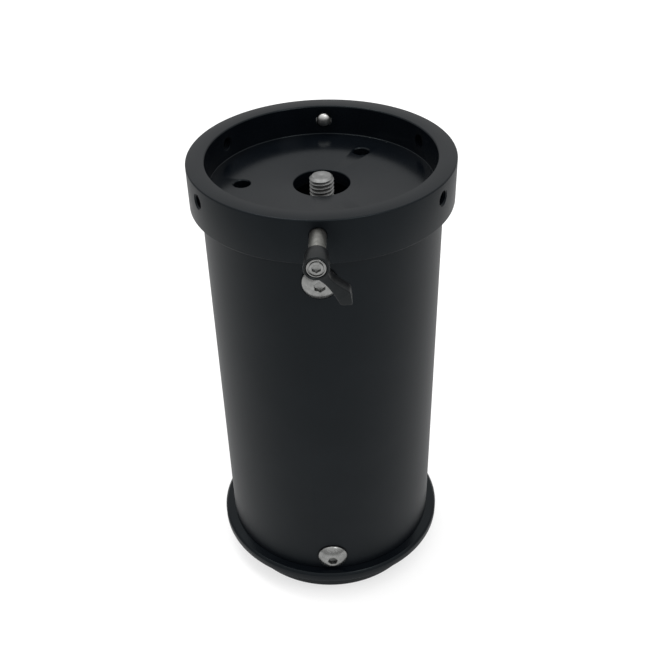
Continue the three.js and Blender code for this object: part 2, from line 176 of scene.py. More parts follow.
# A section swept round the axis and along it, closed at both ends
def sweptRound(obj, turns, climb, steps, angle=360):
    applyModifier(
        obj,
        "SCREW",
        axis="Z",
        angle=radians(angle),
        iterations=turns,
        screw_offset=climb * mm,
        steps=steps,
        render_steps=steps,
        use_merge_vertices=False,
    )
    editing(True)
    cleanUp(closeEnds=True)
    editing(False)


# The rib that cuts a thread: narrow at its point's radius, wide at the other
def threadRib(name, pointRadius, wideRadius, pitch, bottom, top, steps=32):
    depth = abs(wideRadius - pointRadius)
    flat = pitch / 8
    wide = flat + 2 * depth * tan(radians(30))
    bpy.ops.object.select_all(action="DESELECT")
    bpy.ops.mesh.primitive_plane_add(
        size=1,
        rotation=(pi / 2, 0, 0),
        location=((pointRadius + wideRadius) / 2 * mm, 0, (bottom + pitch / 2) * mm),
    )
    obj = bpy.context.object
    obj.name = name
    obj.scale = (depth * mm, wide * mm, 1)
    applyPlace(obj)
    selectPoints(obj, lambda p: abs(p.x - pointRadius) < 0.001)
    bpy.ops.transform.resize(value=(1, 1, flat / wide))
    bpy.ops.mesh.select_all(action="SELECT")
    bpy.ops.mesh.delete(type="ONLY_FACE")
    editing(False)
    sweptRound(obj, max(1, round((top - bottom) / pitch) - 1), pitch, steps)
    return obj


def carve(body, tool, operation="DIFFERENCE"):
    applyModifier(body, "BOOLEAN", operation=operation, solver="EXACT", object=tool)
    bpy.data.objects.remove(tool)


def cutOutsideThread(body, screw, bottom, top, steps=32):
    radius = screw["diameter"] / 2
    point, wide = radius - screw["threadDepth"], radius + screw["ribPast"]
    carve(body, threadRib("die", point, wide, screw["pitch"], bottom, top, steps))


def tapRib(bottom, top):
    return threadRib("tap", tapped["point"], tapped["foot"], tapped["pitch"], bottom, top)


def softenEdges(obj, width, segments=2, angle=28):
    applyModifier(
        obj, "BEVEL", width=width * mm, segments=segments, limit_method="ANGLE", angle_limit=radians(angle)
    )


def outwards(obj, angle, height):  # the tool's own Z turns to point out of the column; 0 is -Y, 90 is +X
    obj.rotation_euler = (pi / 2, 0, radians(angle))
    obj.location.z = height * mm
    applyPlace(obj)
    return obj


def onCircle(obj, radius, angle):
    obj.location = (radius * sin(radians(angle)) * mm, -radius * cos(radians(angle)) * mm, 0)
    applyPlace(obj)
    return obj


def copyOf(obj, name):
    pick(obj)
    bpy.ops.object.duplicate(linked=False)
    made = bpy.context.object
    made.name = name
    return made


# A straight drill with a countersink at one or both ends
def drill(radius, bottom, top, sinkTop=0, sinkBottom=0, past=1, sides=48):
    outline = [(0, bottom - past)]
    if sinkBottom:
        outline += [(radius + sinkBottom + past, bottom - past), (radius, bottom + sinkBottom)]
    else:
        outline += [(radius, bottom - past)]
    if sinkTop:
        outline += [(radius, top - sinkTop), (radius + sinkTop + past, top + past)]
    else:
        outline += [(radius, top + past)]
    return turned("drill", outline + [(0, top + past)], sides)


def cutHexSocket(obj, acrossFlats, mouth, depth, direction=1):
    corner = acrossFlats / 2 / cos(radians(30))
    bottom = mouth - direction * depth
    key = [
        (0, bottom - direction * 0.4 * corner),
        (corner, bottom),
        (corner, mouth + direction),
        (0, mouth + direction),
    ]
    sink = [
        (0, mouth - direction * 0.9 * corner),
        (1.9 * corner, mouth + direction * corner),
        (0, mouth + direction * corner),
    ]
    for name, outline, sides in (("hexKey", key, 6), ("hexSink", sink, 48)):
        carve(obj, turned(name, outline if direction > 0 else outline[::-1], sides))


def finishPiece(obj, name, body, nodes, material, angle=30):
    applyPlace(obj)
    bpy.ops.object.shade_smooth_by_angle(angle=radians(angle))
    obj.name = obj.data.name = name
    obj.data.materials.clear()
    obj.data.materials.append(material)
    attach(obj, body)
    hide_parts(*nodes)
    return obj


# Finishes
def link(material, start, end):
    material.node_tree.links.new(start, end)


def addNode(material, kind, **values):
    node = material.node_tree.nodes.new(kind)
    for key, value in values.items():
        if key in node.inputs:
            node.inputs[key].default_value = value
        else:
            setattr(node, key, value)
    return node


def placed(material, centre=(0, 0, 0), turn=(0, 0, 0)):  # the piece's own coordinates in millimetres
    coordinates = addNode(material, "ShaderNodeTexCoord")
    mapping = addNode(material, "ShaderNodeMapping", vector_type="TEXTURE")
    mapping.inputs["Location"].default_value = [c * mm for c in centre]
    mapping.inputs["Rotation"].default_value = [radians(t) for t in turn]
    mapping.inputs["Scale"].default_value = (mm, mm, mm)
    link(material, coordinates.outputs["Object"], mapping.inputs["Vector"])
    return mapping.outputs["Vector"]


def noise(material, vector, scale, detail=2, roughness=0.5, dimensions="3D"):
    texture = addNode(material, "ShaderNodeTexNoise", noise_dimensions=dimensions)
    texture.inputs["Scale"].default_value = scale
    texture.inputs["Detail"].default_value = detail
    texture.inputs["Roughness"].default_value = roughness
    link(material, vector, texture.inputs["Vector"])
    return texture.outputs["Fac"]


def radiusAndHeight(material, vector):
    split = addNode(material, "ShaderNodeSeparateXYZ")
    flat = addNode(material, "ShaderNodeCombineXYZ")
    length = addNode(material, "ShaderNodeVectorMath", operation="LENGTH")
    link(material, vector, split.inputs[0])
    link(material, split.outputs["X"], flat.inputs["X"])
    link(material, split.outputs["Y"], flat.inputs["Y"])
    link(material, flat.outputs[0], length.inputs[0])
    return length.outputs["Value"], split.outputs["Z"]


def turningMarks(material, radius, height, scale):  # rings on flat faces and on round walls alike
    pair = addNode(material, "ShaderNodeCombineXYZ")
    link(material, radius, pair.inputs["X"])
    link(material, height, pair.inputs["Y"])
    return noise(material, pair.outputs[0], scale, detail=3, roughness=0.6, dimensions="2D")


def spread(material, source, low, high, start=0.3, end=0.7):
    ranged = addNode(material, "ShaderNodeMapRange")
    for key, value in (("From Min", start), ("From Max", end), ("To Min", low), ("To Max", high)):
        ranged.inputs[key].default_value = value
    link(material, source, ranged.inputs["Value"])
    return ranged.outputs["Result"]


def makeFinish(name, look, centre=(0, 0, 0), turn=(0, 0, 0)):
    material = bpy.data.materials.new(name)
    material.use_nodes = True
    shader = material.node_tree.nodes["Principled BSDF"]
    shader.inputs["Metallic"].default_value = look["metallic"]
    shader.inputs["Specular IOR Level"].default_value = look["specular"]
    shader.inputs["Specular Tint"].default_value = (*look.get("tint", (1, 1, 1)), 1)
    vector = placed(material, centre, turn)
    patches = noise(material, vector, look["patchScale"], detail=4)
    ramp = addNode(material, "ShaderNodeValToRGB")
    ramp.color_ramp.elements[0].position, ramp.color_ramp.elements[1].position = 0.3, 0.7
    ramp.color_ramp.elements[0].color = (*look["dark"], 1)
    ramp.color_ramp.elements[1].color = (*look["pale"], 1)
    link(material, patches, ramp.inputs["Fac"])
    link(material, ramp.outputs["Color"], shader.inputs["Base Color"])
    grain = noise(material, vector, look["grainScale"], detail=3)
    rough = spread(material, grain, *look["roughness"])
    relief = grain
    if "markScale" in look:
        radius, height = radiusAndHeight(material, vector)
        relief = turningMarks(material, radius, height, look["markScale"])
    if "outside" in look:  # the outermost wall is duller than the faces inside it
        outside = addNode(material, "ShaderNodeMix", data_type="FLOAT")
        atWall = spread(material, radius, 0, 1, look["outside"] - 0.3, look["outside"])
        link(material, atWall, outside.inputs[0])
        link(material, rough, outside.inputs[2])
        link(material, spread(material, grain, *look["outsideRoughness"]), outside.inputs[3])
        rough = outside.outputs[0]
    link(material, rough, shader.inputs["Roughness"])
    bump = addNode(material, "ShaderNodeBump")
    bump.inputs["Strength"].default_value = look["bump"]
    bump.inputs["Distance"].default_value = look["bumpHeight"] * mm
    link(material, relief, bump.inputs["Height"])
    link(material, bump.outputs["Normal"], shader.inputs["Normal"])
    return material


anodisedLook = {
    "dark": (0.0014, 0.0021, 0.0032),
    "pale": (0.0024, 0.0033, 0.0047),
    "metallic": 0,
    "specular": 0.125,
    "tint": (0.84, 0.96, 1),
    "roughness": (0.16, 0.22),
    "outside": 51.8,  # millimetres from the axis
    "outsideRoughness": (0.4, 0.5),
    "patchScale": 0.08,
    "grainScale": 6,
    "markScale": 5,
    "bump": 0.1,
    "bumpHeight": 0.01,
}
tubeLook = {
    "dark": (0.0017, 0.0024, 0.0035),
    "pale": (0.0030, 0.0038, 0.0052),
    "metallic": 0,
    "specular": 0.125,
    "tint": (0.84, 0.96, 1),
    "roughness": (0.42, 0.5),
    "patchScale": 0.05,
    "grainScale": 9,
    "bump": 0.25,
    "bumpHeight": 0.012,
}
stainlessLook = {
    "dark": (0.18, 0.182, 0.178),
    "pale": (0.25, 0.252, 0.247),
    "metallic": 1,
    "specular": 0.5,
    "roughness": (0.2, 0.3),
    "patchScale": 0.6,
    "grainScale": 5,
    "bump": 0.2,
    "bumpHeight": 0.012,
}
collarLook = {
    **stainlessLook,
    "dark": (0.10, 0.1, 0.094),
    "pale": (0.15, 0.15, 0.142),
    "roughness": (0.4, 0.5),
    "markScale": 6,
    "bump": 0.12,
}
# The rear tip is a paler copy of the stainless steel: a painted highlight that stands in for the light its
# lower half catches
paintedHighlightTipLook = {**stainlessLook, "dark": (0.40, 0.4, 0.39), "pale": (0.48, 0.48, 0.47), "roughness": (0.32, 0.4)}
boltLook = {
    **stainlessLook, "dark": (0.17, 0.172, 0.17), "pale": (0.22, 0.222, 0.22), "roughness": (0.45, 0.58)
}
zincLook = {
    "dark": (0.30, 0.31, 0.32),
    "pale": (0.42, 0.43, 0.44),
    "metallic": 1,
    "specular": 0.5,
    "roughness": (0.32, 0.46),
    "patchScale": 0.25,
    "grainScale": 3,
    "bump": 0.3,
    "bumpHeight": 0.02,
}
springLook = {**zincLook, "dark": (0.24, 0.24, 0.24), "pale": (0.36, 0.355, 0.34), "roughness": (0.22, 0.32)}
brassLook = {
    **stainlessLook, "dark": (0.50, 0.33, 0.12), "pale": (0.62, 0.43, 0.18), "roughness": (0.24, 0.34)
}
handleLook = {
    "dark": (0.0022, 0.0024, 0.0027),
    "pale": (0.0040, 0.0042, 0.0046),
    "metallic": 0,
    "specular": 0.2,
    "tint": (0.88, 0.97, 1),
    "roughness": (0.3, 0.4),
    "patchScale": 0.5,
    "grainScale": 5,
    "bump": 0.4,
    "bumpHeight": 0.03,
}
anodised = makeFinish("blackAnodised", anodisedLook)
tubeCoat = makeFinish("mattAnodised", tubeLook)
stainless = makeFinish("stainlessSteel", stainlessLook)
collarSteel = makeFinish("turnedCollar", collarLook, (0, 0, leverHeight), (90, 0, 0))
paintedHighlightSteel = makeFinish("paintedHighlightSteel", paintedHighlightTipLook)
boltSteel = makeFinish("boltSteel", boltLook)
zinc = makeFinish("zincSteel", zincLook)
springSteel = makeFinish("springSteel", springLook)
brass = makeFinish("brass", brassLook)
handleCoat = makeFinish("handleCoat", handleLook)
print("finishes made")


def centreOf(node):
    low, high = boxOf(node)
    return (low + high) / 2


# The holes that one row of side screws needs in the ring inside the tube
plugHole = {"diameter": 6.4, "sink": 0.3}


def drillPlug(body, node, clocking):
    for angle in sideAngles:
        tool = drill(plugHole["diameter"] / 2, pocketRadius - 1, plugRadius, sinkTop=plugHole["sink"])
        carve(body, outwards(tool, angle + clocking, centreOf(node).z))


# Cup head
head = {
    "cupDiameter": 89.2,
    "cornerFillet": 0.45,  # where the wall meets the floor
    "rimChamfer": 0.4,
    "plugChamfer": 0.9,
    "edgeRound": 0.12,
    "centreOpening": 22,
    "openingChamfer": 0.3,
    "floorHole": 6.6,
    "floorHoleCircle": 62.6,
    "floorHoleAngles": (-90, 30, 150),
    "rimHole": 6.4,
    "rimHoleSink": 0.25,
    "rimHoleStep": 60,
    "tappedSink": 0.65,
    "plateHole": 3.4,
    "plateHoleDepth": 8,
    "sides": 288,
}


def makeCupHead():
    low, high = boxOf("cup_head")
    floorTop = mountHeight("cup_floor")
    outer, cup, opening = high.x, head["cupDiameter"] / 2, head["centreOpening"] / 2
    rim, edge = head["rimChamfer"], head["openingChamfer"]
    lead, fillet = head["plugChamfer"], head["cornerFillet"]
    outline = [
        (outer, headSeat + edge),
        (outer, high.z - rim),
        (outer - rim, high.z),
        (cup + rim, high.z),
        (cup, high.z - rim),
        *arc(cup - fillet, floorTop + fillet, fillet, 0, -90),
        (opening + edge, floorTop),
        (opening, floorTop - edge),
        (opening, headSeat + edge),
        (opening + edge, headSeat),
        *arc(pocketRadius - pocketFillet, headSeat - pocketFillet, pocketFillet, 90, 0),
        (pocketRadius, low.z + edge),
        (pocketRadius + edge, low.z),
        (plugRadius - lead, low.z),
        (plugRadius, low.z + lead),
        (plugRadius, headSeat),
        (outer - edge, headSeat),
    ]
    body = turned("cupHead", outline, head["sides"])
    softenEdges(body, head["edgeRound"])
    for angle in head["floorHoleAngles"]:
        tool = drill(head["floorHole"] / 2, headSeat, floorTop, sinkTop=0.4)
        carve(body, onCircle(tool, head["floorHoleCircle"] / 2, angle))
    for angle in range(0, 360, head["rimHoleStep"]):
        filled = angle in (0, 180)  # the lever and the rear set screw
        radius = head["rimHole"] / 2 if filled else tapped["core"]
        sink = head["rimHoleSink"] if filled else head["tappedSink"]
        carve(body, outwards(drill(radius, cup - 1, outer, sinkTop=sink, past=2), angle, leverHeight))
        if not filled:
            carve(body, outwards(tapRib(cup - 2, outer + 2), angle, leverHeight))
    drillPlug(body, "upper_screw_1", 0)
    for angle in plateScrewAngles:
        end = low.z + head["plateHoleDepth"]
        tool = drill(head["plateHole"] / 2, low.z, end, sinkBottom=edge, past=0.5)
        carve(body, onCircle(tool, plugRadius - plugWall / 2, angle))
    return finishPiece(body, "cupHead", "column", ["cup_head"], anodised)


makeCupHead()
print("cup head made")


# Tube
tube = {"hole": 6.6, "spotFace": 14.4, "endChamfer": 0.3, "closeGap": 0.25, "sides": 288}


def makeTube():
    low, high = boxOf("column_tube")
    outer, bore, chamfer = high.x, high.x - tubeWall, tube["endChamfer"]
    bottom, top = low.z - tube["closeGap"], high.z + tube["closeGap"]
    outline = [
        (outer, bottom + chamfer),
        (outer, top - chamfer),
        (outer - chamfer, top),
        (bore + chamfer, top),
        (bore, top - chamfer),
        (bore, bottom + chamfer),
        (bore + chamfer, bottom),
        (outer - chamfer, bottom),
    ]
    body = turned("tube", outline, tube["sides"])
    seat = sqrt(outer**2 - (tube["spotFace"] / 2) ** 2)
    for node, clocking in (("upper_screw_1", 0), ("lower_screw_1", lowerClocking)):
        height = centreOf(node).z
        for angle in sideAngles:
            carve(body, outwards(drill(tube["hole"] / 2, bore - 2, outer), angle + clocking, height))
            face = drill(tube["spotFace"] / 2, seat + 1, outer, sides=96)
            carve(body, outwards(face, angle + clocking, height))
    return finishPiece(body, "columnTube", "column", ["column_tube"], tubeCoat)


makeTube()
print("tube made")


# Base
base = {
    "spigotDiameter": 88.7,
    "spigotHeight": 12,
    "reliefHeight": 0.6,  # a narrow relief under the flange
    "reliefDepth": 0.4,
    "plugChamfer": 0.9,
    "flangeChamfer": 1,
    "edgeChamfer": 0.25,
    "edgeRound": 0.12,
    "floorThickness": 12,
    "bushHole": 16.4,
    "screwCircle": 62.6,
    "screwAngles": (-90, 30, 150),
    "screwSink": 0.6,
    "sides": 288,
}


def makeBase():
    high = boxOf("base_flange")[1]
    flange, spigot, bush = high.x, base["spigotDiameter"] / 2, base["bushHole"] / 2
    lead, slope, edge = base["plugChamfer"], base["flangeChamfer"], base["edgeChamfer"]
    rise, floor = base["spigotHeight"], base["floorThickness"]
    outline = [
        (bush + edge, 0),
        (spigot - edge, 0),
        (spigot, edge),
        (spigot, rise - base["reliefHeight"]),
        (spigot - base["reliefDepth"], rise - base["reliefHeight"]),
        (spigot - base["reliefDepth"], rise),
        (flange - edge, rise),
        (flange, rise + edge),
        (flange, flangeTop - slope),
        (flange - slope, flangeTop),
        (plugRadius, flangeTop),
        (plugRadius, high.z - lead),
        (plugRadius - lead, high.z),
        (pocketRadius + edge, high.z),
        (pocketRadius, high.z - edge),
        *arc(pocketRadius - pocketFillet, floor + pocketFillet, pocketFillet, 0, -90),
        (bush + edge, floor),
        (bush, floor - edge),
        (bush, edge),
    ]
    body = turned("base", outline, base["sides"])
    softenEdges(body, base["edgeRound"])
    for angle in base["screwAngles"]:
        place = (base["screwCircle"] / 2, angle + lowerClocking)
        tool = drill(tapped["core"], 0, floor, sinkTop=base["screwSink"], sinkBottom=base["screwSink"])
        carve(body, onCircle(tool, *place))
        carve(body, onCircle(tapRib(-2, floor + 2), *place))
    drillPlug(body, "lower_screw_1", lowerClocking)
    return finishPiece(body, "baseFlange", "column", ["base_flange"], anodised)


tripodBush = {
    "bore": 4,
    "body": 8,
    "edge": 0.4,
    "closeGap": 0.05,
    "sink": 0.7,
    "tapPoint": 4.8,
    "tapFoot": 3.9,
    "pitch": 1.5875,
}


def makeBush():
    low, high = boxOf("tripod_bush")
    bore, body, edge, collar = tripodBush["bore"], tripodBush["body"], tripodBush["edge"], high.x
    step = base["floorThickness"] + tripodBush["closeGap"]
    outline = [
        (bore, low.z),
        (body - edge, low.z),
        (body, low.z + edge),
        (body, step),
        (collar - edge, step),
        (collar, step + edge),
        (collar, high.z - edge),
        (collar - edge, high.z),
        (bore, high.z),
    ]
    piece = turned("bush", outline, 96)
    carve(piece, drill(bore, low.z, high.z, sinkTop=tripodBush["sink"], sinkBottom=tripodBush["sink"]))
    point, foot, pitch = (tripodBush[key] for key in ("tapPoint", "tapFoot", "pitch"))
    carve(piece, threadRib("tap", point, foot, pitch, low.z - 3, high.z + 3))
    return finishPiece(piece, "tripodBush", "column", ["tripod_bush"], zinc)


makeBase()
makeBush()
print("base made")


# Side screws: one is modelled and the others are copies
sideScrew = {
    "diameter": 6,
    "pitch": 1,
    "threadDepth": 0.6,
    "ribPast": 0.08,
    "length": 10,
    "headDiameter": 13.4,
    "edgeHeight": 0.9,
    "headHeight": 3.3,
    "crownDiameter": 6.4,
    "socket": 4,
    "socketDepth": 2,
    "closeGap": 0.25,
}


def makeSideScrews():
    radius, edge, crown = (sideScrew[key] / 2 for key in ("diameter", "headDiameter", "crownDiameter"))
    height, rise = sideScrew["headHeight"], sideScrew["edgeHeight"]
    seat = -sideScrew["closeGap"]
    outline = [
        (0, -sideScrew["length"]),
        (radius - 0.7, -sideScrew["length"]),
        (radius, 0.7 - sideScrew["length"]),
        (radius, seat),
        (edge - 0.2, seat),
        *arc(edge - 0.2, seat + 0.2, 0.2, -90, 0, 3),
        *arc(edge - 0.35, rise - 0.4, 0.35, 0, 30, 3),
        *domeArc((edge - 0.12, rise), (crown + 0.25, height - 0.16), 10),
        (crown, height - 0.05),
        (crown - 0.3, height),
        (0, height),
    ]
    first = turned("sideScrew", outline, 96)
    cutOutsideThread(first, sideScrew, -sideScrew["length"] - 2, -0.6)
    cutHexSocket(first, sideScrew["socket"], height, sideScrew["socketDepth"])
    seatRadius = sqrt(boxOf("column_tube")[1].x ** 2 - (tube["spotFace"] / 2) ** 2) + seatGap
    first.location.z = seatRadius * mm
    applyPlace(first)
    for row, clocking, tightened in (("upper", 0, 8), ("lower", lowerClocking, 40)):
        for i, angle in enumerate(sideAngles):
            node = f"{row}_screw_{i + 1}"
            screw = copyOf(first, node)
            screw.rotation_euler = (0, 0, radians(tightened + 17 * i))  # no two sockets stand alike
            applyPlace(screw)
            outwards(screw, angle + clocking, centreOf(node).z)
            finishPiece(screw, f"{row}Screw{i + 1}", "column", [node], stainless, 35)
    bpy.data.objects.remove(first)


makeSideScrews()
print("side screws made")


# Centre bolt with its washer and clip
bolt = {
    "diameter": 9.525,
    "pitch": 1.5875,
    "threadDepth": 0.97,
    "ribPast": 0.1,
    "chamfer": 0.95,
    "headHeight": 8,
    "headChamfer": 0.8,
    "headEdge": 0.5,
    "neckFlare": 0.4,
    "socket": 6,
    "groove": 0.7,
    "grooveGap": 0.15,
}
clipGap = 60  # degrees


def makeBolt():
    low, high = boxOf("centre_bolt")
    clipLow, clipHigh = boxOf("bolt_clip")
    radius, headRadius = bolt["diameter"] / 2, high.x
    headTop = low.z + bolt["headHeight"]
    neck, gap = radius - bolt["groove"], bolt["grooveGap"]
    chamfer, edge, flare = bolt["headChamfer"], bolt["headEdge"], bolt["neckFlare"]
    outline = [
        (0, low.z),
        (headRadius - chamfer, low.z),
        (headRadius, low.z + chamfer),
        (headRadius, headTop - edge),
        (headRadius - edge, headTop),
        (radius + flare, headTop),
        (radius, headTop + flare),
        (radius, clipLow.z - gap),
        (neck, clipLow.z - gap),
        (neck, clipHigh.z + gap),
        (radius, clipHigh.z + gap),
        (radius, high.z - bolt["chamfer"]),
        (radius - bolt["chamfer"] + 0.15, high.z - 0.18),
        *arc(radius - bolt["chamfer"] - 0.15, high.z - 0.3, 0.3, 30, 90, 3),
        (1.1, high.z),
        (0.7, high.z - 0.12),
        (0, high.z - 0.12),
    ]
    body = turned("bolt", outline, 96)
    cutOutsideThread(body, bolt, clipHigh.z - 0.5, high.z + 3, 48)
    cutHexSocket(body, bolt["socket"], low.z, bolt["headHeight"] / 2, direction=-1)
    return finishPiece(body, "centreBolt", "centre_bolt", ["centre_bolt"], boltSteel, 35)


def makeWasher():
    low, high = boxOf("bolt_washer")
    inner = bolt["diameter"] / 2 + seatGap
    outline = [
        (inner + 0.3, low.z),
        (high.x - 0.5, low.z),
        (high.x, low.z + 0.5),
        (high.x, high.z - 0.5),
        (high.x - 0.5, high.z),
        (inner + 0.3, high.z),
        (inner, high.z - 0.3),
        (inner, low.z + 0.3),
    ]
    piece = turned("washer", outline, 128)
    softenEdges(piece, 0.08)
    return finishPiece(piece, "boltWasher", "bolt_washer", ["bolt_washer"], zinc)


def makeClip():
    low, high = boxOf("bolt_clip")
    inner, outer = bolt["diameter"] / 2 - bolt["groove"] + bolt["grooveGap"], -low.x
    bpy.ops.object.select_all(action="DESELECT")
    bpy.ops.mesh.primitive_plane_add(
        size=1, rotation=(pi / 2, 0, 0), location=((inner + outer) / 2 * mm, 0, (low.z + high.z) / 2 * mm)
    )
    piece = bpy.context.object
    piece.scale = ((outer - inner) * mm, (high.z - low.z) * mm, 1)
    applyPlace(piece)
    editing(True)
    bpy.ops.mesh.select_all(action="SELECT")
    bpy.ops.mesh.bevel(offset=0.15 * mm, segments=2, affect="VERTICES")
    bpy.ops.mesh.delete(type="ONLY_FACE")
    editing(False)
    sweptRound(piece, 1, 0, 60, angle=360 - clipGap)
    piece.rotation_euler.z = radians(clipGap / 2)
    applyPlace(piece)
    return finishPiece(piece, "boltClip", "centre_bolt", ["bolt_clip"], springSteel)


makeBolt()
makeWasher()
makeClip()
print("centre bolt made")


# Plate under the head, with its three screws
plate = {"keyHole": 9, "accessHole": 14, "screwHole": 3.4, "edge": 0.3}
plateScrew = {
    "diameter": 3,
    "pitch": 0.5,
    "threadDepth": 0.3,
    "ribPast": 0.04,
    "headHeight": 3,
    "socket": 2.5,
    "socketDepth": 1.4,
    "closeGap": 0.25,
    "circle": 2 * plugRadius - plugWall,
}


def makePlate():
    low, high = boxOf("retainer_plate")
    edge = plate["edge"]
    outline = [
        (0, low.z),
        (high.x - edge, low.z),
        (high.x, low.z + edge),
        (high.x, high.z - edge),
        (high.x - edge, high.z),
        (0, high.z),
    ]
    piece = turned("plate", outline, 192)
    carve(piece, drill(plate["keyHole"] / 2, low.z, high.z, sinkTop=edge, sinkBottom=edge))
    for angle in head["floorHoleAngles"]:
        tool = drill(plate["accessHole"] / 2, low.z, high.z, sinkTop=edge, sinkBottom=edge)
        carve(piece, onCircle(tool, head["floorHoleCircle"] / 2, angle))
    for angle in plateScrewAngles:
        tool = drill(plate["screwHole"] / 2, low.z, high.z, sides=32)
        carve(piece, onCircle(tool, plateScrew["circle"] / 2, angle))
    return finishPiece(piece, "retainerPlate", "column", ["retainer_plate"], zinc)


def makePlateScrews():
    low, high = boxOf("retainer_screw_1")
    radius, headRadius = plateScrew["diameter"] / 2, (high.y - low.y) / 2
    seat = low.z + plateScrew["headHeight"] + plateScrew["closeGap"]
    outline = [
        (0, low.z),
        (headRadius - 0.3, low.z),
        (headRadius, low.z + 0.3),
        (headRadius, seat - 0.15),
        (headRadius - 0.15, seat),
        (radius, seat),
        (radius, high.z - 0.35),
        (radius - 0.35, high.z),
        (0, high.z),
    ]
    first = turned("plateScrew", outline, 64)
    cutOutsideThread(first, plateScrew, seat + 0.6, high.z + 1, 20)
    cutHexSocket(first, plateScrew["socket"], low.z, plateScrew["socketDepth"], direction=-1)
    for i, angle in enumerate(plateScrewAngles):
        screw = onCircle(copyOf(first, "plateScrew"), plateScrew["circle"] / 2, angle)
        node = f"retainer_screw_{i + 1}"
        finishPiece(screw, f"retainerScrew{i + 1}", "column", [node], stainless, 35)
    bpy.data.objects.remove(first)


makePlate()
makePlateScrews()
print("retainer plate made")


# Clamp lever. Its pieces are modelled upright on the axis, then turned to point out of the rim
def reachOf(node):  # how far from the column's axis a lever piece starts and ends
    low, high = boxOf(node)
    return -high.y, -low.y


stud = {
    "diameter": 6,
    "pitch": 1,
    "threadDepth": 0.6,
    "ribPast": 0.08,
    "reliefDepth": 0.45,
    "collarDiameter": 6.1,
    "neckDiameter": 5.3,
    "chamfer": 0.42,
    "hubGap": 0.1,
    "stemHole": 2.5,
    "stemHoleDepth": 3.6,
    "screwHole": 2.2,
    "screwHoleDepth": 6.6,
    "teeth": 12,
    "toothRadius": 0.35,
    "toothLength": 1.6,
}


def makeStud():
    start, end = reachOf("lever_stud")
    rim = boxOf("cup_head")[1].x
    collarEnd = reachOf("lever_handle")[0] - stud["hubGap"]
    radius, collar, neck = (stud[key] / 2 for key in ("diameter", "collarDiameter", "neckDiameter"))
    relief, chamfer = radius - stud["reliefDepth"], stud["chamfer"]
    outline = [
        (0, start),
        (radius - 0.5, start),
        (radius, start + 0.5),
        (radius, rim - 2.2),
        (relief, rim - 1.9),
        (relief, rim - 1.2),
        (collar, rim - 0.8),
        (collar, collarEnd - 1.6 * chamfer),
        (collar - chamfer, collarEnd),
        (neck, collarEnd),
        (neck, end - 0.3),
        (neck - 0.3, end),
        (0, end),
    ]
    piece = turned("stud", outline, 128)
    cutOutsideThread(piece, stud, start - 2, rim - 1.5)
    carve(piece, drill(stud["stemHole"] / 2, start, start + stud["stemHoleDepth"], sides=32))
    screwHole = drill(stud["screwHole"], end - stud["screwHoleDepth"], end, sinkTop=0.3, past=0.5, sides=32)
    carve(piece, screwHole)
    for i in range(stud["teeth"]):
        tooth = drill(stud["toothRadius"], end - stud["toothLength"], end, past=0.4, sides=12)
        carve(piece, onCircle(tooth, neck + 0.1, 360 / stud["teeth"] * i))
    outwards(piece, 0, leverHeight)
    return finishPiece(piece, "leverStud", "lever_stud", ["lever_stud"], collarSteel, 35)


# The arm is a face extruded from station to station: middle, width, and the way it looks across
handle = {
    "bore": 3.3,
    "neck": 4.3,
    "outer": 4.5,
    "pocket": 3.65,
    "ledge": 0.7,
    "ledgeDepth": 1.5,  # below the shim
    "ledgeHole": 2.25,
    "armThickness": 5.5,
    "armStep": 0.05,  # the arm lies this much below the hub's end
    "armEdge": 0.35,
    "armCorner": 0.8,
    "stations": (
        ((1.6, -1.9), 5.0, 45),
        ((3.5, -4.85), 2.95, 48),
        ((4.85, -6.5), 2.95, 52),
        ((6.65, -8.35), 3.85, 46),
        ((9.1, -11.05), 5.4, 35.5),
        ((9.95, -14.5), 3.9, 3),
    ),
}


def makeArm(bottom, top):
    middle, width, heading = handle["stations"][0]
    bpy.ops.object.select_all(action="DESELECT")
    bpy.ops.mesh.primitive_plane_add(size=1, rotation=(pi / 2, 0, 0))
    arm = bpy.context.object
    arm.scale = (width * mm, (top - bottom) * mm, 1)
    applyPlace(arm)
    arm.location = (middle[0] * mm, middle[1] * mm, (bottom + top) / 2 * mm)
    arm.rotation_euler.z = radians(heading)
    applyPlace(arm)
    editing(True)
    bpy.ops.mesh.select_all(action="SELECT")
    for place, nextWidth, nextHeading in handle["stations"][1:]:
        move = ((place[0] - middle[0]) * mm, (place[1] - middle[1]) * mm, 0)
        bpy.ops.mesh.extrude_region_move(TRANSFORM_OT_translate={"value": move})
        centre = Vector((place[0] * mm, place[1] * mm, (bottom + top) / 2 * mm))
        bpy.ops.transform.rotate(
            value=radians(heading - nextHeading), orient_axis="Z", center_override=centre
        )
        share = nextWidth / width
        across = Matrix.Rotation(radians(nextHeading), 3, "Z")
        bpy.ops.transform.resize(
            value=(share, 1, 1), orient_type="GLOBAL", orient_matrix=across, orient_matrix_type="GLOBAL"
        )
        middle, width, heading = place, nextWidth, nextHeading
    cleanUp()
    editing(False)
    return arm


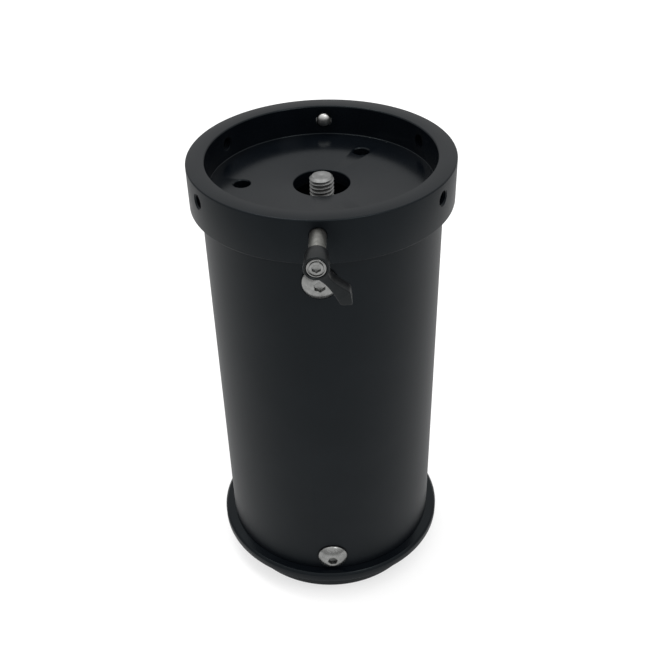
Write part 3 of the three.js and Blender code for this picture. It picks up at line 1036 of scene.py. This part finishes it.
def makeHandle():
    start, end = reachOf("lever_handle")
    length = end - start
    ledgeTop = reachOf("lever_shim")[0] - 0.15 - handle["ledgeDepth"]
    outline = [
        (handle["bore"] + 0.2, start),
        (handle["neck"] - 0.3, start),
        *arc(handle["neck"] - 0.3, start + 0.3, 0.3, -90, 0, 3),
        (handle["outer"], start + length / 2),
        *arc(handle["outer"] - 0.3, end - 0.3, 0.3, 0, 90, 4),
        (handle["pocket"] + 0.2, end),
        (handle["pocket"], end - 0.2),
        (handle["pocket"], ledgeTop),
        (handle["ledgeHole"], ledgeTop),
        (handle["ledgeHole"], ledgeTop - handle["ledge"]),
        (handle["bore"], ledgeTop - handle["ledge"]),
        (handle["bore"], start + 0.2),
    ]
    hub = turned("hub", outline, 128)
    top = end - handle["armStep"]
    arm = makeArm(top - handle["armThickness"], top)
    editing(True)  # round the arm's upright corners first, then all its edges
    bpy.ops.mesh.select_mode(type="EDGE")
    bpy.ops.mesh.select_all(action="DESELECT")
    editing(False)
    for edge in arm.data.edges:
        a, b = (arm.data.vertices[v].co for v in edge.vertices)
        edge.select = abs(a.z - b.z) > mm
    editing(True)
    bpy.ops.mesh.bevel(offset=handle["armCorner"] * mm, segments=5, affect="EDGES", clamp_overlap=True)
    editing(False)
    softenEdges(arm, handle["armEdge"], 3, 40)
    carve(arm, drill(handle["pocket"] + 0.4, start, end, sides=64))
    carve(hub, arm, "UNION")
    outwards(hub, 0, leverHeight)
    return finishPiece(hub, "leverHandle", "lever_handle", ["lever_handle"], handleCoat, 35)


leverScrew = {
    "diameter": 4,
    "pitch": 0.7,
    "threadDepth": 0.43,
    "ribPast": 0.05,
    "headDiameter": 7,
    "headHeight": 2.5,
    "grooveDiameter": 5.4,
    "grooveWidth": 0.5,
    "grooveDepth": 0.5,
    "socket": 3,
    "socketDepth": 1.5,
}


def makeLeverScrew():
    start, end = reachOf("lever_screw")
    radius, headRadius = leverScrew["diameter"] / 2, leverScrew["headDiameter"] / 2
    seat = end - leverScrew["headHeight"]
    grooveIn = leverScrew["grooveDiameter"] / 2 - leverScrew["grooveWidth"] / 2
    grooveOut = grooveIn + leverScrew["grooveWidth"]
    sunk = end - leverScrew["grooveDepth"]
    outline = [
        (0, start),
        (radius - 0.4, start),
        (radius, start + 0.4),
        (radius, seat),
        (headRadius - 0.15, seat),
        (headRadius, seat + 0.15),
        *arc(headRadius - 0.4, end - 0.4, 0.4, 0, 90, 5),
        (grooveOut, end),
        (grooveOut - 0.06, sunk),
        (grooveIn + 0.06, sunk),
        (grooveIn, end - 0.12),
        *arc(grooveIn - 0.2, end - 0.2, 0.2, 0, 90, 4),
        (0, end),
    ]
    piece = turned("leverScrew", outline, 96)
    cutOutsideThread(piece, leverScrew, start - 1, seat - 0.4, 24)
    cutHexSocket(piece, leverScrew["socket"], end, leverScrew["socketDepth"])
    outwards(piece, 0, leverHeight)
    return finishPiece(piece, "leverScrew", "lever_stud", ["lever_screw"], stainless, 35)


def makeShim():
    start, end = reachOf("lever_shim")
    inner, outer = handle["ledgeHole"], handle["pocket"] - 0.15
    edge = 0.06
    outline = [
        (inner, start + edge),
        (inner + edge, start),
        (outer - edge, start),
        (outer, start + edge),
        (outer, end - edge),
        (outer - edge, end),
        (inner + edge, end),
        (inner, end - edge),
    ]
    piece = outwards(turned("shim", outline, 64), 0, leverHeight)
    return finishPiece(piece, "leverShim", "lever_shim", ["lever_shim"], springSteel)


spring = {"wireRadius": 0.2, "turns": 3}


def makeSpring():
    start, end = reachOf("lever_spring")
    wire, turns = spring["wireRadius"], spring["turns"]
    radius = (handle["ledgeHole"] + handle["pocket"]) / 2
    bpy.ops.object.select_all(action="DESELECT")
    bpy.ops.mesh.primitive_circle_add(
        vertices=10, radius=wire * mm, rotation=(pi / 2, 0, 0), location=(radius * mm, 0, (start + wire) * mm)
    )
    piece = bpy.context.object
    applyPlace(piece)
    sweptRound(piece, turns, (end - start - 2 * wire) / turns, 32)
    outwards(piece, 0, leverHeight)
    return finishPiece(piece, "leverSpring", "lever_stud", ["lever_spring"], springSteel, 40)


# Pressure tips: a domed face on a stem that sits in the screw behind it
tip = {"diameter": 5.5, "dome": 1.5, "flat": 0.7, "stem": 2.2, "stemLength": 2.5, "stemChamfer": 0.3}


def makeTip(node, name, body, angle, material):
    low, high = boxOf(node)
    crown = -high.y if angle == 0 else low.y
    radius, stem = tip["diameter"] / 2, tip["stem"] / 2
    shoulder = crown + tip["dome"]
    stemEnd = shoulder + tip["stemLength"]
    outline = [
        (0, crown),
        *reversed(domeArc((radius - 0.05, shoulder - 0.35), (tip["flat"] / 2, crown), 8)),
        (radius, shoulder - 0.2),
        (radius, shoulder - 0.05),
        (radius - 0.1, shoulder),
        (stem, shoulder),
        (stem, stemEnd - tip["stemChamfer"]),
        (stem - tip["stemChamfer"], stemEnd),
        (0, stemEnd),
    ]
    piece = outwards(turned(name, outline, 96), angle, leverHeight)
    return finishPiece(piece, name, body, [node], material, 40)


setScrew = {**stud, "socket": 3, "socketDepth": 2, "leadChamfer": 0.6, "endChamfer": 0.5}


def makeSetScrew():
    low, high = boxOf("rear_set_screw")
    start, end, radius = low.y, high.y, setScrew["diameter"] / 2
    lead, edge = setScrew["leadChamfer"], setScrew["endChamfer"]
    outline = [
        (0, start),
        (radius - lead, start),
        (radius, start + lead),
        (radius, end - edge),
        (radius - edge, end),
        (0, end),
    ]
    piece = turned("setScrew", outline, 96)
    cutOutsideThread(piece, setScrew, start - 2, end + 2)
    carve(piece, drill(setScrew["stemHole"] / 2, start, start + 3, sides=32))
    cutHexSocket(piece, setScrew["socket"], end, setScrew["socketDepth"])
    outwards(piece, 180, leverHeight)
    body = node = "rear_set_screw"
    return finishPiece(piece, "rearSetScrew", body, [node], stainless, 35)


makeStud()
makeHandle()
makeLeverScrew()
makeShim()
makeSpring()
makeTip("lever_tip", "leverTip", "lever_tip", 0, brass)
makeTip("rear_tip", "rearTip", "rear_tip", 180, paintedHighlightSteel)
makeSetScrew()
print("clamp lever and rear screw made")


# Stage, light and camera
studio = {
    "floorColour": (0.38, 0.38, 0.38),
    "floorGlow": 0.62,  # keeps the shadow beside the foot faint
    "horizon": 0.35,
    "zenith": 1.75,
    "boxes": (  # place and size in metres, watts
        ((-0.35, 0.25, 1.5), (0.5, 0.5), 6),
        ((0.5, -0.6, 1.2), (0.4, 0.4), 3),
    ),
}
camera = {
    "position": (12.2, -344.26, 363.49),
    "turn": 3.262,
    "tilt": 38.766,
    "roll": -2.366,
    "lens": 52.06,
    "shift": (0.0372, 0.0725),
}


def makeStage():
    bpy.ops.object.select_all(action="DESELECT")
    bpy.ops.mesh.primitive_plane_add(size=8)
    floor = bpy.context.object
    floor.name = "floor"
    material = bpy.data.materials.new("paleFloor")
    material.use_nodes = True
    shader = material.node_tree.nodes["Principled BSDF"]
    shader.inputs["Base Color"].default_value = (*studio["floorColour"], 1)
    shader.inputs["Roughness"].default_value = 0.9
    shader.inputs["Specular IOR Level"].default_value = 0
    shader.inputs["Emission Color"].default_value = (1, 1, 1, 1)
    shader.inputs["Emission Strength"].default_value = studio["floorGlow"]
    floor.data.materials.append(material)


def makeWorld():
    world = bpy.data.worlds.new("softTent")
    bpy.context.scene.world = world
    world.use_nodes = True
    nodes, links = world.node_tree.nodes, world.node_tree.links
    coordinates = nodes.new("ShaderNodeTexCoord")
    split = nodes.new("ShaderNodeSeparateXYZ")
    ranged = nodes.new("ShaderNodeMapRange")
    ranged.inputs["To Min"].default_value = studio["horizon"]
    ranged.inputs["To Max"].default_value = studio["zenith"]
    links.new(coordinates.outputs["Generated"], split.inputs[0])
    links.new(split.outputs["Z"], ranged.inputs["Value"])
    links.new(ranged.outputs["Result"], nodes["Background"].inputs["Strength"])
    nodes["Background"].inputs["Color"].default_value = (1, 1, 1, 1)


def makeLights():
    for place, size, power in studio["boxes"]:
        bpy.ops.object.light_add(type="AREA", location=place)
        lamp = bpy.context.object
        lamp.data.shape = "RECTANGLE"
        lamp.data.size, lamp.data.size_y = size
        lamp.data.energy = power
        toMiddle = Vector((0, 0, 0.15)) - Vector(place)
        lamp.rotation_euler = toMiddle.to_track_quat("-Z", "Y").to_euler()


def makeCamera():
    bpy.ops.object.camera_add()
    eye = bpy.context.object
    turn = Matrix.Rotation(radians(camera["turn"]), 4, "Z")
    tilt = Matrix.Rotation(radians(90 - camera["tilt"]), 4, "X")
    roll = Matrix.Rotation(radians(camera["roll"]), 4, "Z")
    eye.matrix_world = Matrix.Translation(Vector(camera["position"]) * mm) @ turn @ tilt @ roll
    eye.data.lens = camera["lens"]
    eye.data.shift_x, eye.data.shift_y = camera["shift"]
    eye.data.clip_start, eye.data.clip_end = 0.01, 20
    bpy.context.scene.camera = eye


makeStage()
makeWorld()
makeLights()
makeCamera()
bpy.context.scene.view_settings.view_transform = "Standard"
print("stage made")
